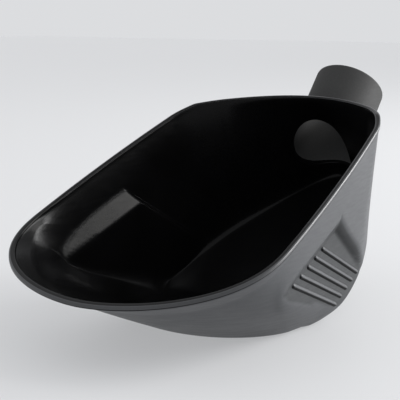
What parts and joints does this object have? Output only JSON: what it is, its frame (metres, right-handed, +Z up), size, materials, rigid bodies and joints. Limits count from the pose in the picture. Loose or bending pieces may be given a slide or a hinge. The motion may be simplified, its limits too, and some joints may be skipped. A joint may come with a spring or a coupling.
{
  "type": "grain scoop shovel",
  "caption": "Open-topped moulded scoop with a raised rounded lip, flat base, ribbed finger recesses on both sides and a hollow round handle that pours through.",
  "frame": {"origin": "middle of the flat base, on the surface that the scoop stands on", "axes": "+Z up, -Y towards the pouring lip, +Y towards the handle, +X across the mouth"},
  "size_m": [0.2166, 0.3836, 0.1813],
  "materials": {
    "bowl": "satin black outside, glossy black inside",
    "rim": "satin black, slightly polished edge",
    "handle": "matt black",
    "grip": "satin black"
  },
  "bodies": {
    "root": {"bowl_shell": "bowl", "rim_band": "rim", "handle_tube": "handle", "grip_ribs_right": "grip", "grip_ribs_left": "grip"}
  },
  "joints": []
}
